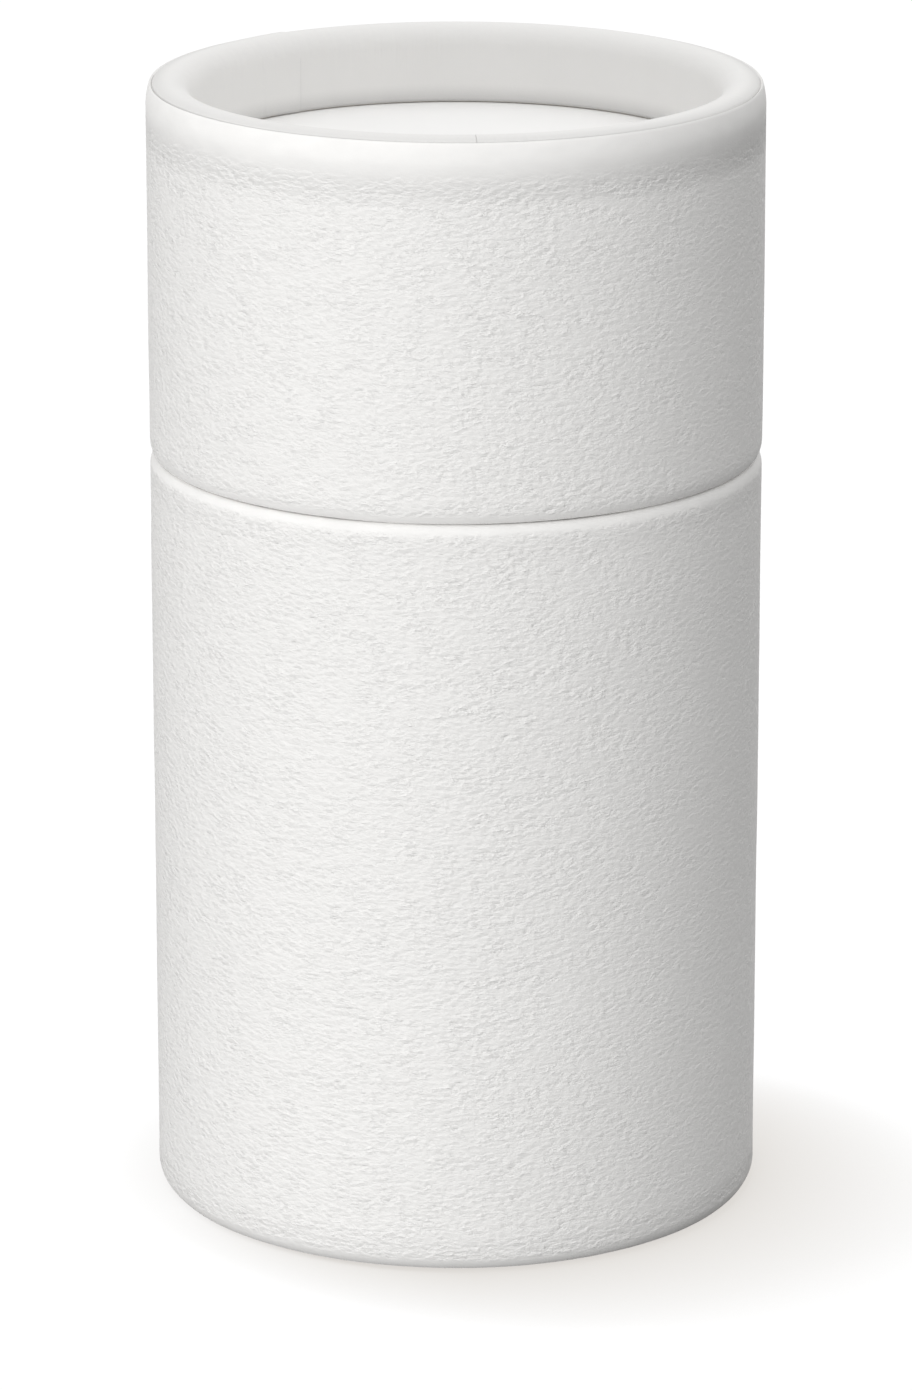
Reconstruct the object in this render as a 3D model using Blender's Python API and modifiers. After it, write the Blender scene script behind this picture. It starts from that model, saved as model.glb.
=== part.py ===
"""A rigid round paperboard canister with a lift-off cap.

It is built as such canisters are made: two board tubes whose far ends are rolled inward over a
board disc, a textured paper wrap glued round each tube and turned in over its open edge, and a
neck tube glued inside the lower tube, over which the cap slides.

Metres, +Z up. The origin is the middle of the ring that the canister stands on.
Run it with: blender --background --python part.py
"""

import math

import bmesh
import bpy

MM = 0.001

# Overall sizes
OUTER_DIAMETER = 65.0 * MM
BODY_HEIGHT = 81.2 * MM  # from the ring it stands on to the body's open edge
CAP_HEIGHT = 39.7 * MM  # from the cap's open edge to the crest of its lip
SEAM_GAP = 0.3 * MM  # between the cap's open edge and the body's

# Papers and boards
BOARD_THICKNESS = 1.3 * MM
NECK_THICKNESS = 1.3 * MM
WRAP_THICKNESS = 0.22 * MM
LINING_THICKNESS = 0.22 * MM
GLUE_LINE = 0.08 * MM
DISC_THICKNESS = 1.5 * MM
LINING_DISC_THICKNESS = 0.8 * MM

# The cap's lip: a gentle shoulder, a crease at the wrap's cut edge, a low slope and the return
LIP_WIDTH = 4.5 * MM  # across the roll, from the tube's outer face to the return's inner face
LIP_SHOULDER_RADIUS = 7.5 * MM
LIP_SHOULDER_LEAN = math.radians(18.0)  # how far the shoulder leans in below the crease
LIP_SLOPE = math.radians(9.0)  # from the crest down to the crease
LIP_RETURN_RADIUS = 2.25 * MM
CAP_RECESS_DEPTH = 8.4 * MM

# The base rim: rolled over a flat to stand on
BASE_RIM_WIDTH = 4.5 * MM
BASE_LAND_WIDTH = 0.8 * MM
BASE_RECESS_DEPTH = 6.0 * MM

# The open edges, where the wrap is turned in
BODY_EDGE_DEPTH = 0.55 * MM
BODY_EDGE_HEIGHT = 1.15 * MM
CAP_EDGE_DEPTH = 0.5 * MM
CAP_EDGE_HEIGHT = 1.0 * MM
INNER_EDGE_RADIUS = 0.25 * MM
HEM_LENGTH = 12.0 * MM

# The neck
NECK_RISE = 22.0 * MM  # how far it stands out of the body
NECK_EDGE_RADIUS = 0.4 * MM
NECK_CLEARANCE = 0.3 * MM  # round the neck, to the turned-in wraps

# Fits inside
SEAT_GAP = 0.3 * MM
DISC_CLEARANCE = 0.3 * MM  # round a disc, to the tube that holds it
DISC_EDGE_RADIUS = 0.2 * MM

# Facets
SIDES = 48
ROLL_FACETS = 4  # in each quarter of a roll
WRAP_ROLL_FACETS = 2  # how many of them the wrap covers, up from the wall
LIP_FACETS = 2  # in the lip's shoulder, which the wrap covers
CORNER_FACETS = 2
EDGE_FACETS = 3
END_FACETS = 4
SMOOTH_ANGLE = math.radians(35.0)
MERGE_DISTANCE = 0.01 * MM

# Worked out from the sizes above
QUARTER = math.pi / 2
WRAP_STACK = GLUE_LINE + WRAP_THICKNESS
BOARD_RADIUS = OUTER_DIAMETER / 2 - WRAP_STACK
BOARD_BORE = BOARD_RADIUS - BOARD_THICKNESS
HEM_BORE = BOARD_BORE - WRAP_STACK
NECK_RADIUS = HEM_BORE - NECK_CLEARANCE
NECK_BORE = NECK_RADIUS - NECK_THICKNESS
CAP_BASE = BODY_HEIGHT + SEAM_GAP

SMOOTH_WHITE = (0.83, 0.82, 0.80)
TEXTURED_WHITE = (0.86, 0.85, 0.83)
BOARD_WHITE = (0.80, 0.79, 0.77)
INSIDE_WHITE = (0.78, 0.77, 0.74)


def arc(centre, radii, start, end, facets):
    """Points on an ellipse's arc, from angle start to angle end, measured from +X towards +Z."""
    points = []
    for i in range(facets + 1):
        angle = start + (end - start) * i / facets
        x = centre[0] + radii[0] * math.cos(angle)
        z = centre[1] + radii[1] * math.sin(angle)
        points.append((x, z))
    return points


def beside(path, distance):
    """The path moved sideways, to the right of its direction, with its corners kept parallel."""
    normals = []
    for (x0, z0), (x1, z1) in zip(path, path[1:]):
        length = math.hypot(x1 - x0, z1 - z0)
        normals.append(((z1 - z0) / length, (x0 - x1) / length))
    before = [normals[0]] + normals
    after = normals + [normals[-1]]
    moved = []
    for (x, z), (ax, az), (bx, bz) in zip(path, before, after):
        stretch = distance / (1 + ax * bx + az * bz)
        moved.append((x + (ax + bx) * stretch, z + (az + bz) * stretch))
    return moved


def flipped(path, height):
    """The path turned upside down inside this height."""
    return [(x, height - z) for x, z in path]


def rounded_end(first, last):
    """The points of a half round from first to last, anticlockwise, without those two."""
    centre = ((first[0] + last[0]) / 2, (first[1] + last[1]) / 2)
    radius = math.hypot(first[0] - centre[0], first[1] - centre[1])
    start = math.atan2(first[1] - centre[1], first[0] - centre[0])
    return arc(centre, (radius, radius), start, start + 2 * QUARTER, END_FACETS)[1:-1]


def base_roll(crest):
    """The outer face of the base rim, upside down: from the wall over the flat to the return."""
    radius = (BASE_RIM_WIDTH - BASE_LAND_WIDTH) / 2
    outer = (BOARD_RADIUS - radius, crest - radius)
    inner = (BOARD_RADIUS - BASE_RIM_WIDTH + radius, crest - radius)
    up = arc(outer, (radius, radius), 0, QUARTER, ROLL_FACETS)
    return up + arc(inner, (radius, radius), QUARTER, 2 * QUARTER, ROLL_FACETS)


def lip_roll(crest):
    """The outer face of the lip: from the wall over shoulder, crease and slope to the return."""
    top = BOARD_RADIUS - LIP_WIDTH + LIP_RETURN_RADIUS
    crease = BOARD_RADIUS - LIP_SHOULDER_RADIUS * (1 - math.cos(LIP_SHOULDER_LEAN))
    rise = LIP_SHOULDER_RADIUS * math.sin(LIP_SHOULDER_LEAN) + (crease - top) * math.tan(LIP_SLOPE)
    centre = (BOARD_RADIUS - LIP_SHOULDER_RADIUS, crest - rise)
    radii = (LIP_SHOULDER_RADIUS, LIP_SHOULDER_RADIUS)
    return_radii = (LIP_RETURN_RADIUS, LIP_RETURN_RADIUS)
    down = arc((top, crest - LIP_RETURN_RADIUS), return_radii, QUARTER, 2 * QUARTER, ROLL_FACETS)
    return arc(centre, radii, 0, LIP_SHOULDER_LEAN, LIP_FACETS) + down


def open_edge(height, edge_depth, edge_height):
    """The board's open edge, from its outer face, under the edge and round to its bore."""
    outer = (BOARD_RADIUS - edge_depth, height + edge_height)
    inner = (BOARD_BORE + INNER_EDGE_RADIUS, height + INNER_EDGE_RADIUS)
    inner_radii = (INNER_EDGE_RADIUS, INNER_EDGE_RADIUS)
    path = arc(outer, (edge_depth, edge_height), 0, -QUARTER, EDGE_FACETS)
    return path + arc(inner, inner_radii, -QUARTER, -2 * QUARTER, CORNER_FACETS)


def board_outline(roll, disc_face, edge_depth, edge_height):
    """A board tube with its rolled end up: out of its bore, round its edge, up, over and down."""
    tail = (roll[-1][0], disc_face + SEAT_GAP + BOARD_THICKNESS / 2)
    edge = open_edge(WRAP_STACK, edge_depth, edge_height)[::-1]
    inner_face = beside([edge[-1]] + roll + [tail], -BOARD_THICKNESS)
    tip = rounded_end(tail, inner_face[-1])
    return edge + roll + [tail] + tip + inner_face[:0:-1]


def wrap_outline(covered, edge_depth, edge_height):
    """A tube's wrap: from its cut edge down the covered part of the roll, round the edge and in."""
    hem = (BOARD_BORE, WRAP_STACK + HEM_LENGTH)
    path = covered[::-1] + open_edge(WRAP_STACK, edge_depth, edge_height) + [hem]
    return beside(path, -GLUE_LINE) + beside(path, -WRAP_STACK)[::-1]


def disc_outline(radius, thickness):
    """Half of a disc's section, from the axis over its top face and back under it."""
    corner = radius - DISC_EDGE_RADIUS
    radii = (DISC_EDGE_RADIUS, DISC_EDGE_RADIUS)
    top = arc((corner, thickness - DISC_EDGE_RADIUS), radii, QUARTER, 0, CORNER_FACETS)
    bottom = arc((corner, DISC_EDGE_RADIUS), radii, 0, -QUARTER, CORNER_FACETS)
    return [(0.0, thickness)] + top + bottom + [(0.0, 0.0)]


def neck_outline(length):
    """The neck tube's wall, with both corners of its upper edge rounded."""
    radii = (NECK_EDGE_RADIUS, NECK_EDGE_RADIUS)
    shoulder = length - NECK_EDGE_RADIUS
    inner = arc((NECK_BORE + NECK_EDGE_RADIUS, shoulder), radii, 2 * QUARTER, QUARTER, EDGE_FACETS)
    outer = arc((NECK_RADIUS - NECK_EDGE_RADIUS, shoulder), radii, QUARTER, 0, EDGE_FACETS)
    return inner + outer + [(NECK_RADIUS, 0.0), (NECK_BORE, 0.0)]


def lining_outline(length):
    """The cap's lining: a paper tube against the board's bore."""
    outer = BOARD_BORE - GLUE_LINE
    inner = outer - LINING_THICKNESS
    return [(outer, length), (outer, 0.0), (inner, 0.0), (inner, length)]


def clockwise(outline):
    """The outline run down its outer side, so that its turned faces point outwards."""
    area = 0.0
    for (x0, z0), (x1, z1) in zip(outline, outline[1:] + outline[:1]):
        area += x0 * z1 - x1 * z0
    return outline if area < 0 else outline[::-1]


def paper(name, colour, roughness):
    material = bpy.data.materials.new(name)
    material.use_nodes = True
    shader = material.node_tree.nodes["Principled BSDF"]
    shader.inputs["Base Color"].default_value = (*colour, 1.0)
    shader.inputs["Roughness"].default_value = roughness
    shader.inputs["Metallic"].default_value = 0.0
    return material


def turned(name, outline, height, parent, material):
    """An object turned round Z from its outline, at this height above its parent."""
    profile = bmesh.new()
    points = [profile.verts.new((x, 0.0, z)) for x, z in clockwise(outline)]
    for a, b in zip(points, points[1:]):
        profile.edges.new((a, b))
    if all(x > 0 for x, _ in outline):
        profile.edges.new((points[-1], points[0]))
    mesh = bpy.data.meshes.new(name)
    profile.to_mesh(mesh)
    profile.free()

    obj = bpy.data.objects.new(name, mesh)
    parts.objects.link(obj)
    obj.parent = parent
    obj.location.z = height
    screw = obj.modifiers.new("turn", "SCREW")
    screw.axis = "Z"
    screw.angle = 4 * QUARTER
    screw.steps = screw.render_steps = SIDES
    screw.use_merge_vertices = True
    screw.merge_threshold = MERGE_DISTANCE

    graph = bpy.context.evaluated_depsgraph_get()
    obj.data = bpy.data.meshes.new_from_object(obj.evaluated_get(graph))
    obj.modifiers.clear()
    bpy.data.meshes.remove(mesh)
    obj.data.name = name
    obj.data.shade_smooth()
    obj.data.set_sharp_from_angle(angle=SMOOTH_ANGLE)
    obj.data.materials.append(material)
    return obj


def axis(name, height):
    """An empty on the canister's axis, which carries the pieces of one rigid body."""
    empty = bpy.data.objects.new(name, None)
    empty.empty_display_size = OUTER_DIAMETER / 2
    empty.location.z = height
    parts.objects.link(empty)
    return empty


def build_body(smooth, textured, board, inside):
    """The lower half: wrapped board tube with its rolled base, base disc, neck and floor."""
    body = axis("body_axis", 0.0)
    roll = base_roll(BODY_HEIGHT)
    edge = (BODY_EDGE_DEPTH, BODY_EDGE_HEIGHT)
    tube = board_outline(roll, BODY_HEIGHT - BASE_RECESS_DEPTH, *edge)
    turned("body_board_tube", flipped(tube, BODY_HEIGHT), 0.0, body, smooth)
    wrap = wrap_outline(roll[:WRAP_ROLL_FACETS + 1], *edge)
    turned("body_outer_wrap", flipped(wrap, BODY_HEIGHT), 0.0, body, textured)

    disc = disc_outline(BOARD_BORE - DISC_CLEARANCE, DISC_THICKNESS)
    turned("base_disc", disc, BASE_RECESS_DEPTH, body, board)
    inside_base = BASE_RECESS_DEPTH + DISC_THICKNESS + SEAT_GAP
    neck = neck_outline(BODY_HEIGHT + NECK_RISE - inside_base)
    turned("neck_tube", neck, inside_base, body, inside)
    floor = disc_outline(NECK_BORE - DISC_CLEARANCE, LINING_DISC_THICKNESS)
    turned("floor_disc", floor, inside_base, body, inside)


def build_cap(smooth, textured, board, inside):
    """The upper half, on the axis that it lifts along: the same tube, wrap and disc, and a lining."""
    cap = axis("cap_axis", CAP_BASE)
    roll = lip_roll(CAP_HEIGHT)
    edge = (CAP_EDGE_DEPTH, CAP_EDGE_HEIGHT)
    tube = board_outline(roll, CAP_HEIGHT - CAP_RECESS_DEPTH, *edge)
    turned("cap_board_tube", tube, 0.0, cap, smooth)
    turned("cap_outer_wrap", wrap_outline(roll[:LIP_FACETS + 1], *edge), 0.0, cap, textured)

    disc = disc_outline(BOARD_BORE - DISC_CLEARANCE, DISC_THICKNESS)
    disc_height = CAP_HEIGHT - CAP_RECESS_DEPTH - DISC_THICKNESS
    turned("cap_top_disc", disc, disc_height, cap, smooth)
    lining_disc = disc_outline(BOARD_BORE - DISC_CLEARANCE, LINING_DISC_THICKNESS)
    lining_disc_height = disc_height - SEAT_GAP - LINING_DISC_THICKNESS
    turned("cap_lining_disc", lining_disc, lining_disc_height, cap, inside)

    lining_start = WRAP_STACK + HEM_LENGTH + SEAT_GAP
    lining = lining_outline(lining_disc_height - SEAT_GAP - lining_start)
    turned("cap_inner_lining", lining, lining_start, cap, inside)


def build():
    smooth = paper("smooth_white_paper", SMOOTH_WHITE, 0.6)
    textured = paper("textured_white_paper", TEXTURED_WHITE, 0.7)
    board = paper("white_lined_board", BOARD_WHITE, 0.75)
    inside = paper("inner_white_paper", INSIDE_WHITE, 0.7)
    build_body(smooth, textured, board, inside)
    build_cap(smooth, textured, board, inside)


for old in list(bpy.data.objects):
    bpy.data.objects.remove(old)
parts = bpy.data.collections.new("paper_canister")
bpy.context.scene.collection.children.link(parts)
build()
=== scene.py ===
"""Dresses a round paperboard canister: turned sheets of board and paper, their finishes and a studio.

The file is laid out as an add-on and is run as a script. Each operator makes one piece, or a
group of like pieces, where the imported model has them, and the last one makes the stage.
Metres, +Z up. The origin is the middle of the ring that the canister stands on.
"""

import math

import bmesh
import bpy
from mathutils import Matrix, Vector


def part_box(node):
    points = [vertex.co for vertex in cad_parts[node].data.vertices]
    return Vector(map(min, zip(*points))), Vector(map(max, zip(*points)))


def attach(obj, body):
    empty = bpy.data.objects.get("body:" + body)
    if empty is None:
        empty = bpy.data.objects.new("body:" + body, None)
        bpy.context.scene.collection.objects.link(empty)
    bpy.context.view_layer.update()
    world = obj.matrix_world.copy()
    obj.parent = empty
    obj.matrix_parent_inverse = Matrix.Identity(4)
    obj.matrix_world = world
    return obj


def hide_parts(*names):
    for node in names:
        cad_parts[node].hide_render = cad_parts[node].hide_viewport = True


bl_info = {
    "name": "Paper Canister",
    "version": (1, 0, 0),
    "blender": (4, 5, 0),
    "location": "View3D > Sidebar > Canister",
    "description": "Rolled board tubes, textured wraps, discs, neck, lining and a studio",
    "category": "Add Mesh",
}

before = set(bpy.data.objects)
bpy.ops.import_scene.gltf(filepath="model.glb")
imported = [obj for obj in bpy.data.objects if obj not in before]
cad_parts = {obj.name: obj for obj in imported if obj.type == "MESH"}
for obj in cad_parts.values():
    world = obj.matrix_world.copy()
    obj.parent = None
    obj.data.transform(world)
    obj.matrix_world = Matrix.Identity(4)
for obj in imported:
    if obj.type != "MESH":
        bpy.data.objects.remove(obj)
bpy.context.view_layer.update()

QUARTER = math.pi / 2
SMOOTH_ANGLE = math.radians(35)

# A place times this has lost its height
FLATTENED = (1.0, 1.0, 0.0)

# Roughness of the papers' hollows and of their tops
FELT_ROUGHNESS = (0.7, 0.45)
SMOOTH_ROUGHNESS = (0.55, 0.68)

# Slots of a sheet's mesh: its face, its back and its cut ends
FACE = 0
BACK = 1
CUT = 2


def reach(node):
    """A round node's outer radius, and its lowest and highest level."""
    low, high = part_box(node)
    return high.x, low.z, high.z


WRAP_RADIUS, CAP_BASE, _ = reach("cap_outer_wrap")
BOARD_RADIUS, _, LIP_CREST = reach("cap_board_tube")
_, _, BODY_TOP = reach("body_outer_wrap")
NECK_RADIUS, NECK_BASE, NECK_TOP = reach("neck_tube")
LINING_RADIUS, LINING_BASE, LINING_TOP = reach("cap_inner_lining")
_, _, RECESS_FLOOR = reach("cap_top_disc")
_, BASE_RECESS, _ = reach("base_disc")

# From a tube's outer face to its wrap's
STACK = WRAP_RADIUS - BOARD_RADIUS


def length(name, default, description):
    return bpy.props.FloatProperty(
        name=name, description=description, default=default, min=0, precision=5, unit="LENGTH"
    )


def angle(name, default, description):
    return bpy.props.FloatProperty(
        name=name, description=description, default=math.radians(default), subtype="ANGLE"
    )


def number(name, default, description):
    return bpy.props.FloatProperty(name=name, description=description, default=default, min=0)


def count(name, default, description):
    return bpy.props.IntProperty(name=name, description=description, default=default, min=1)


def colour(name, default, description):
    return bpy.props.FloatVectorProperty(
        name=name, description=description, default=default, size=3, min=0, max=1, subtype="COLOR"
    )


class CanisterSizes(bpy.types.PropertyGroup):
    """Sizes of the sheets that the canister is made of."""

    sides: count("Sides", 384, "Columns of faces round each tube")
    roll_steps: count("Roll Steps", 16, "Rows of faces in each quarter of a rolled end")
    edge_steps: count("Edge Steps", 8, "Rows of faces round each turned-in edge")
    wall_rows: count("Wall Rows", 40, "Rows of faces up a wrap's wall")
    board_rows: count("Board Rows", 3, "Rows of faces up a board tube's wall, and up the rim's tail")
    tail_rows: count("Tail Rows", 4, "Rows of faces up the lip's tail")
    hem_rows: count("Hem Rows", 6, "Rows of faces up a wrap's hem")
    neck_rows: count("Neck Rows", 24, "Rows of faces up the neck")
    lining_rows: count("Lining Rows", 10, "Rows of faces up the lining")
    disc_rings: count("Disc Rings", 12, "Rings of faces in a disc")
    tail_steps: count("Tail Steps", 10, "Rows of faces round a tail's seen edge")
    hidden_steps: count("Hidden Steps", 2, "Rows of faces round a tail's hidden edge")
    corner_steps: count("Corner Steps", 4, "Rows of faces round an edge of the neck or a disc")
    board: length("Board", 0.0013, "Thickness of the tubes' board")
    paper: length("Paper", 0.00022, "Thickness of the wrap and of the lining")
    lip_width: length("Lip Width", 0.0045, "Across the cap's roll, outer face to inner face")
    rim_width: length("Rim Width", 0.0045, "Across the base's roll")
    rim_land: length("Rim Land", 0.0008, "Flat that the base stands on")
    shoulder: length("Shoulder", 0.0075, "Radius of the cap's gentle shoulder")
    shoulder_lean: angle("Shoulder Lean", 18, "How far it leans in where the wrap is cut off")
    lip_corner: length("Lip Corner", 0.0003, "Radius of the crease above the wrap's cut edge")
    lip_dome: angle("Lip Dome", 72, "How far the lip leans in above that crease")
    lip_inner: length("Lip Inner", 0.00225, "Radius of the roll where it goes into the recess")
    tail_gap: length("Tail Gap", 0.00003, "Between a rolled end's tail and its disc")
    tail_round: length("Tail Round", 0.0004, "Radius of the tail's seen edge")
    tail_back: length("Tail Back", 0.00015, "Radius of the tail's hidden edge")
    wrap_climb: angle("Wrap Climb", 48, "How far the body's wrap goes round the base's roll")
    seam: length("Seam", 0.00004, "Between the cap's edge and the body's, seen from outside")
    body_edge_depth: length("Body Edge Depth", 0.00055, "How far the body's edge is rounded in")
    body_edge_height: length("Body Edge Height", 0.00115, "How far down that rounding starts")
    cap_edge_depth: length("Cap Edge Depth", 0.0006, "How far the cap's edge is rounded in")
    cap_edge_height: length("Cap Edge Height", 0.0012, "How far up that rounding ends")
    inner_edge: length("Inner Edge", 0.00025, "Radius of the board's inner corner")
    hem: length("Hem", 0.012, "How far the wrap is turned in")
    neck_board: length("Neck Board", 0.0013, "Thickness of the neck")
    neck_edge: length("Neck Edge", 0.0004, "Radius of the neck's upper edge")
    disc_edge: length("Disc Edge", 0.0002, "Radius of a disc's edges")
    lap_width: length("Lap Width", 0.006, "Width of a glued lap")
    lap_height: length("Lap Height", 0.00009, "How far a glued lap stands out")
    lap_steps: count("Lap Steps", 8, "Steps in which a lap is pressed down to nothing")
    butt_seam: angle("Butt Seam", -86.25, "Where the lip's facing paper meets end to end")
    butt_width: length("Butt Width", 0.00009, "Width of that hairline gap")
    butt_depth: length("Butt Depth", 0.00012, "Depth of that hairline gap")
    weld: length("Weld", 0.000002, "Points nearer to each other than this become one")
    wall_depth: length("Wall Depth", 0.001, "How far in from its board a wrap counts as outside")
    wrap_lap: angle("Wrap Lap", 84, "Where the wrap's ends lap, from +X towards +Y")
    facing_lap: angle("Facing Lap", 127.7, "Where the lip's facing paper laps")


class CanisterFinish(bpy.types.PropertyGroup):
    """Colours and grain of the papers and boards."""

    wrap: colour("Wrap", (0.86, 0.852, 0.838), "Felt-grained wrap")
    facing: colour("Facing", (0.84, 0.832, 0.818), "Smooth paper of lip and recess")
    disc: colour("Disc", (0.92, 0.915, 0.905), "Paper of the cap's disc")
    lining: colour("Lining", (0.78, 0.77, 0.745), "Lining paper")
    neck: colour("Neck", (0.82, 0.81, 0.79), "White-faced board of the neck")
    core: colour("Core", (0.66, 0.63, 0.58), "Raw board where it is cut")
    grain_size: length("Grain Size", 0.00095, "Width of the felt grain's wrinkles")
    grain_depth: length("Grain Depth", 0.0003, "Depth of the felt grain")
    grain_flat: number("Grain Flatness", 2.1, "How much wider than high the wrinkles are")
    grain_full: number("Full Grain", 1.15, "Share of the grain's depth on its strong side, -X")
    grain_faint: number("Faint Grain", 0.35, "Share of the grain's depth where it fades out, at +X")
    # Random tone, plus painted shade in the grain's hollows and painted light on its tops
    grain_tone: number("Grain Tone", 0.045, "How much lighter its tops are, and darker its hollows")
    fade_start: number("Fade Start", 0.12, "Where the grain starts to fade, as a share of the radius")
    fade_end: number("Fade End", 0.92, "Where it has faded to its faint side")
    smooth_base: length("Smooth Base", 0.0018, "How far above the base the grain is pressed flat")
    smooth_seam: length("Smooth Seam", 0.0012, "How far from the cap's seam it is pressed flat")
    smooth_lip: length("Smooth Lip", 0.006, "How far under the lip's crest it is pressed flat")
    shoulder_swell: length("Shoulder Swell", 0.00067, "How far the wrap swells under the shoulder")
    shoulder_swell_reach: length("Shoulder Swell Reach", 0.005, "How far up that swelling spreads")
    shoulder_swell_below: length("Shoulder Swell Below", 0.0045, "How far down it spreads")
    edge_swell: length("Edge Swell", 0.0001, "How far the wrap swells at its turned edges")
    edge_swell_reach: length("Edge Swell Reach", 0.0025, "How far that swelling spreads")
    rim_swell: length("Rim Swell", 0.00034, "How far the wrap swells above the base's rim")
    rim_swell_reach: length("Rim Swell Reach", 0.0042, "How high above the floor that is")
    swell_fade: number("Swell Fade", 8, "In how many reaches the lower swellings fade upwards")
    sheen: number("Sheen", 0.12, "How much the felt paper glances, where 0.5 is usual")
    unevenness: length("Unevenness", 0.00012, "How far the wrap's wall swells and sinks")
    uneven_size: length("Uneven Size", 0.014, "Width of those swellings")
    tooth_size: length("Tooth Size", 0.00022, "Size of smooth paper's tooth")
    tooth_depth: length("Tooth Depth", 0.000012, "Depth of smooth paper's tooth")
    fold_depth: length("Fold Depth", 0.00006, "Depth of the fine folds across a roll")
    cloud_tone: number("Cloud Tone", 0.02, "How much smooth paper's tone drifts")
    # Painted shade: the facing paper's colour is darkened in crevices and on the lip beside the
    # wrap's cut edge
    crevice_reach: length("Crevice Reach", 0.0022, "How far the shade reaches out of a crevice")
    crevice_tone: number("Crevice Tone", 0.72, "Tone of the lip's paper in a crevice, 1 for no shade")
    crease_reach: length("Crease Reach", 0.0022, "How far the lip is shaded beside the wrap's edge")
    crease_tone: number("Crease Tone", 0.82, "Tone of the lip beside the wrap's edge, 1 for no shade")


class CanisterStage(bpy.types.PropertyGroup):
    """Camera, lamp, sky and floor."""

    lens: number("Lens", 171.6, "Focal length in millimetres")
    camera_back: length("Camera Back", 0.6825, "How far in front of the axis the camera stands")
    camera_height: length("Camera Height", 0.2574, "How high the camera stands")
    camera_tilt: angle("Camera Tilt", 16.62, "How far the camera looks down")
    key_azimuth: angle("Key Azimuth", -29, "Key lamp's bearing from the camera's, to the right")
    key_distance: length("Key Distance", 1.0, "Key lamp's distance")
    key_level: length("Key Level", 0.055, "Height of the key lamp's middle")
    key_width: length("Key Width", 0.9, "Key lamp's width")
    key_height: length("Key Height", 0.1, "Key lamp's own height, low enough to skim the lip")
    key_power: bpy.props.FloatProperty(
        name="Key Power", description="Key lamp's power", default=6.4, min=0, unit="POWER"
    )
    zenith: number("Zenith", 1.33, "Light from the sky overhead")
    horizon: number("Horizon", 0.33, "Light from the sky at the level of the floor")
    floor_size: length("Floor Size", 8, "Length of the floor's sides")
    floor_drop: length("Floor Drop", 0.00005, "How far the floor lies under the canister")
    floor_grey: number("Floor Grey", 0.12, "How light the floor is where it lights the canister")
    backdrop: number("Backdrop", 0.93, "White of the floor as it is seen, without light on it")
    backdrop_lit: number("Backdrop Lit", 0.1, "Share of the light on it that is added")
    # The contact shadow is painted into the floor's colour as the camera sees it
    contact_tone: colour("Contact Tone", (0.69, 0.665, 0.635), "Colour of the contact shadow's core")
    contact_reach: length("Contact Reach", 0.028, "How far the contact shadow spreads at most")
    contact_bearing: angle("Contact Bearing", 62, "Where it spreads furthest, right of the camera")
    contact_wrap: number("Contact Wrap", 0.6, "How far round it grows: 0 to the side, 1 behind")
    contact_least: number("Least Contact", 0.2, "Share of that reach on its narrow side")
    contact_faint: number("Faint Contact", 0.25, "Share of its darkness on its narrow side")
    contact_full: number("Full Contact", 0.7, "Share of the way to its bearing where it is darkest")
    contact_falloff: number("Contact Falloff", 0.65, "Under 1, it stays dark further out")


def arc(centre, radii, start, end, steps):
    """Points (radius, height) on an ellipse, from angle start to angle end."""
    points = []
    for step in range(steps + 1):
        turn_to = start + (end - start) * step / steps
        radius = centre[0] + radii[0] * math.cos(turn_to)
        height = centre[1] + radii[1] * math.sin(turn_to)
        points.append((radius, height))
    return points


def straight(start, end, rows):
    """Points from start to end, without the first of them."""
    points = []
    for row in range(1, rows):
        share = row / rows
        radius = start[0] + (end[0] - start[0]) * share
        height = start[1] + (end[1] - start[1]) * share
        points.append((radius, height))
    return points + [end]


def upside_down(path, height):
    """The path turned over inside this height, and run the other way to keep its face outside."""
    return [(radius, height - level) for radius, level in reversed(path)]


def turn(name, path, sides):
    """Draws a ring of vertices along a path of (radius, height) points, as one open sheet."""
    (radius, height), *ahead = path
    bpy.ops.object.select_all(action="DESELECT")
    bpy.ops.mesh.primitive_circle_add(
        vertices=sides, radius=radius, fill_type="NOTHING", location=(0, 0, height)
    )
    piece = bpy.context.active_object
    piece.name = name
    piece.data.name = name
    bpy.ops.object.mode_set(mode="EDIT")
    bpy.ops.mesh.select_mode(type="EDGE")
    bpy.ops.mesh.select_all(action="SELECT")
    for next_radius, next_height in ahead:
        rise = (0, 0, next_height - height)
        bpy.ops.mesh.extrude_edges_move(TRANSFORM_OT_translate={"value": rise})
        grow = next_radius / radius
        bpy.ops.transform.resize(value=(grow, grow, 1), center_override=(0, 0, 0))
        radius, height = next_radius, next_height
    bpy.ops.object.mode_set(mode="OBJECT")
    bpy.ops.object.transform_apply(location=True, rotation=True, scale=True)
    return piece


def edit(piece, kind):
    """Starts editing a piece, with nothing selected."""
    bpy.ops.object.select_all(action="DESELECT")
    piece.select_set(True)
    bpy.context.view_layer.objects.active = piece
    bpy.ops.object.mode_set(mode="EDIT")
    bpy.ops.mesh.select_mode(type=kind)
    bpy.ops.mesh.select_all(action="DESELECT")


def done():
    bpy.ops.object.mode_set(mode="OBJECT")


def select(piece, kind, wanted):
    """Selects the verts, edges or faces for which wanted is true, and tells how many they are."""
    mesh = bmesh.from_edit_mesh(piece.data)
    chosen = [part for part in getattr(mesh, kind) if wanted(part)]
    for part in chosen:
        part.select_set(True)
    bmesh.update_edit_mesh(piece.data)
    return len(chosen)


def give(piece, *papers):
    for paper in papers:
        piece.data.materials.append(paper)


def apply_modifiers(piece):
    """Applies what a piece's modifiers do, in order."""
    bpy.context.view_layer.objects.active = piece
    for modifier in list(piece.modifiers):
        bpy.ops.object.modifier_apply(modifier=modifier.name)


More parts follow.
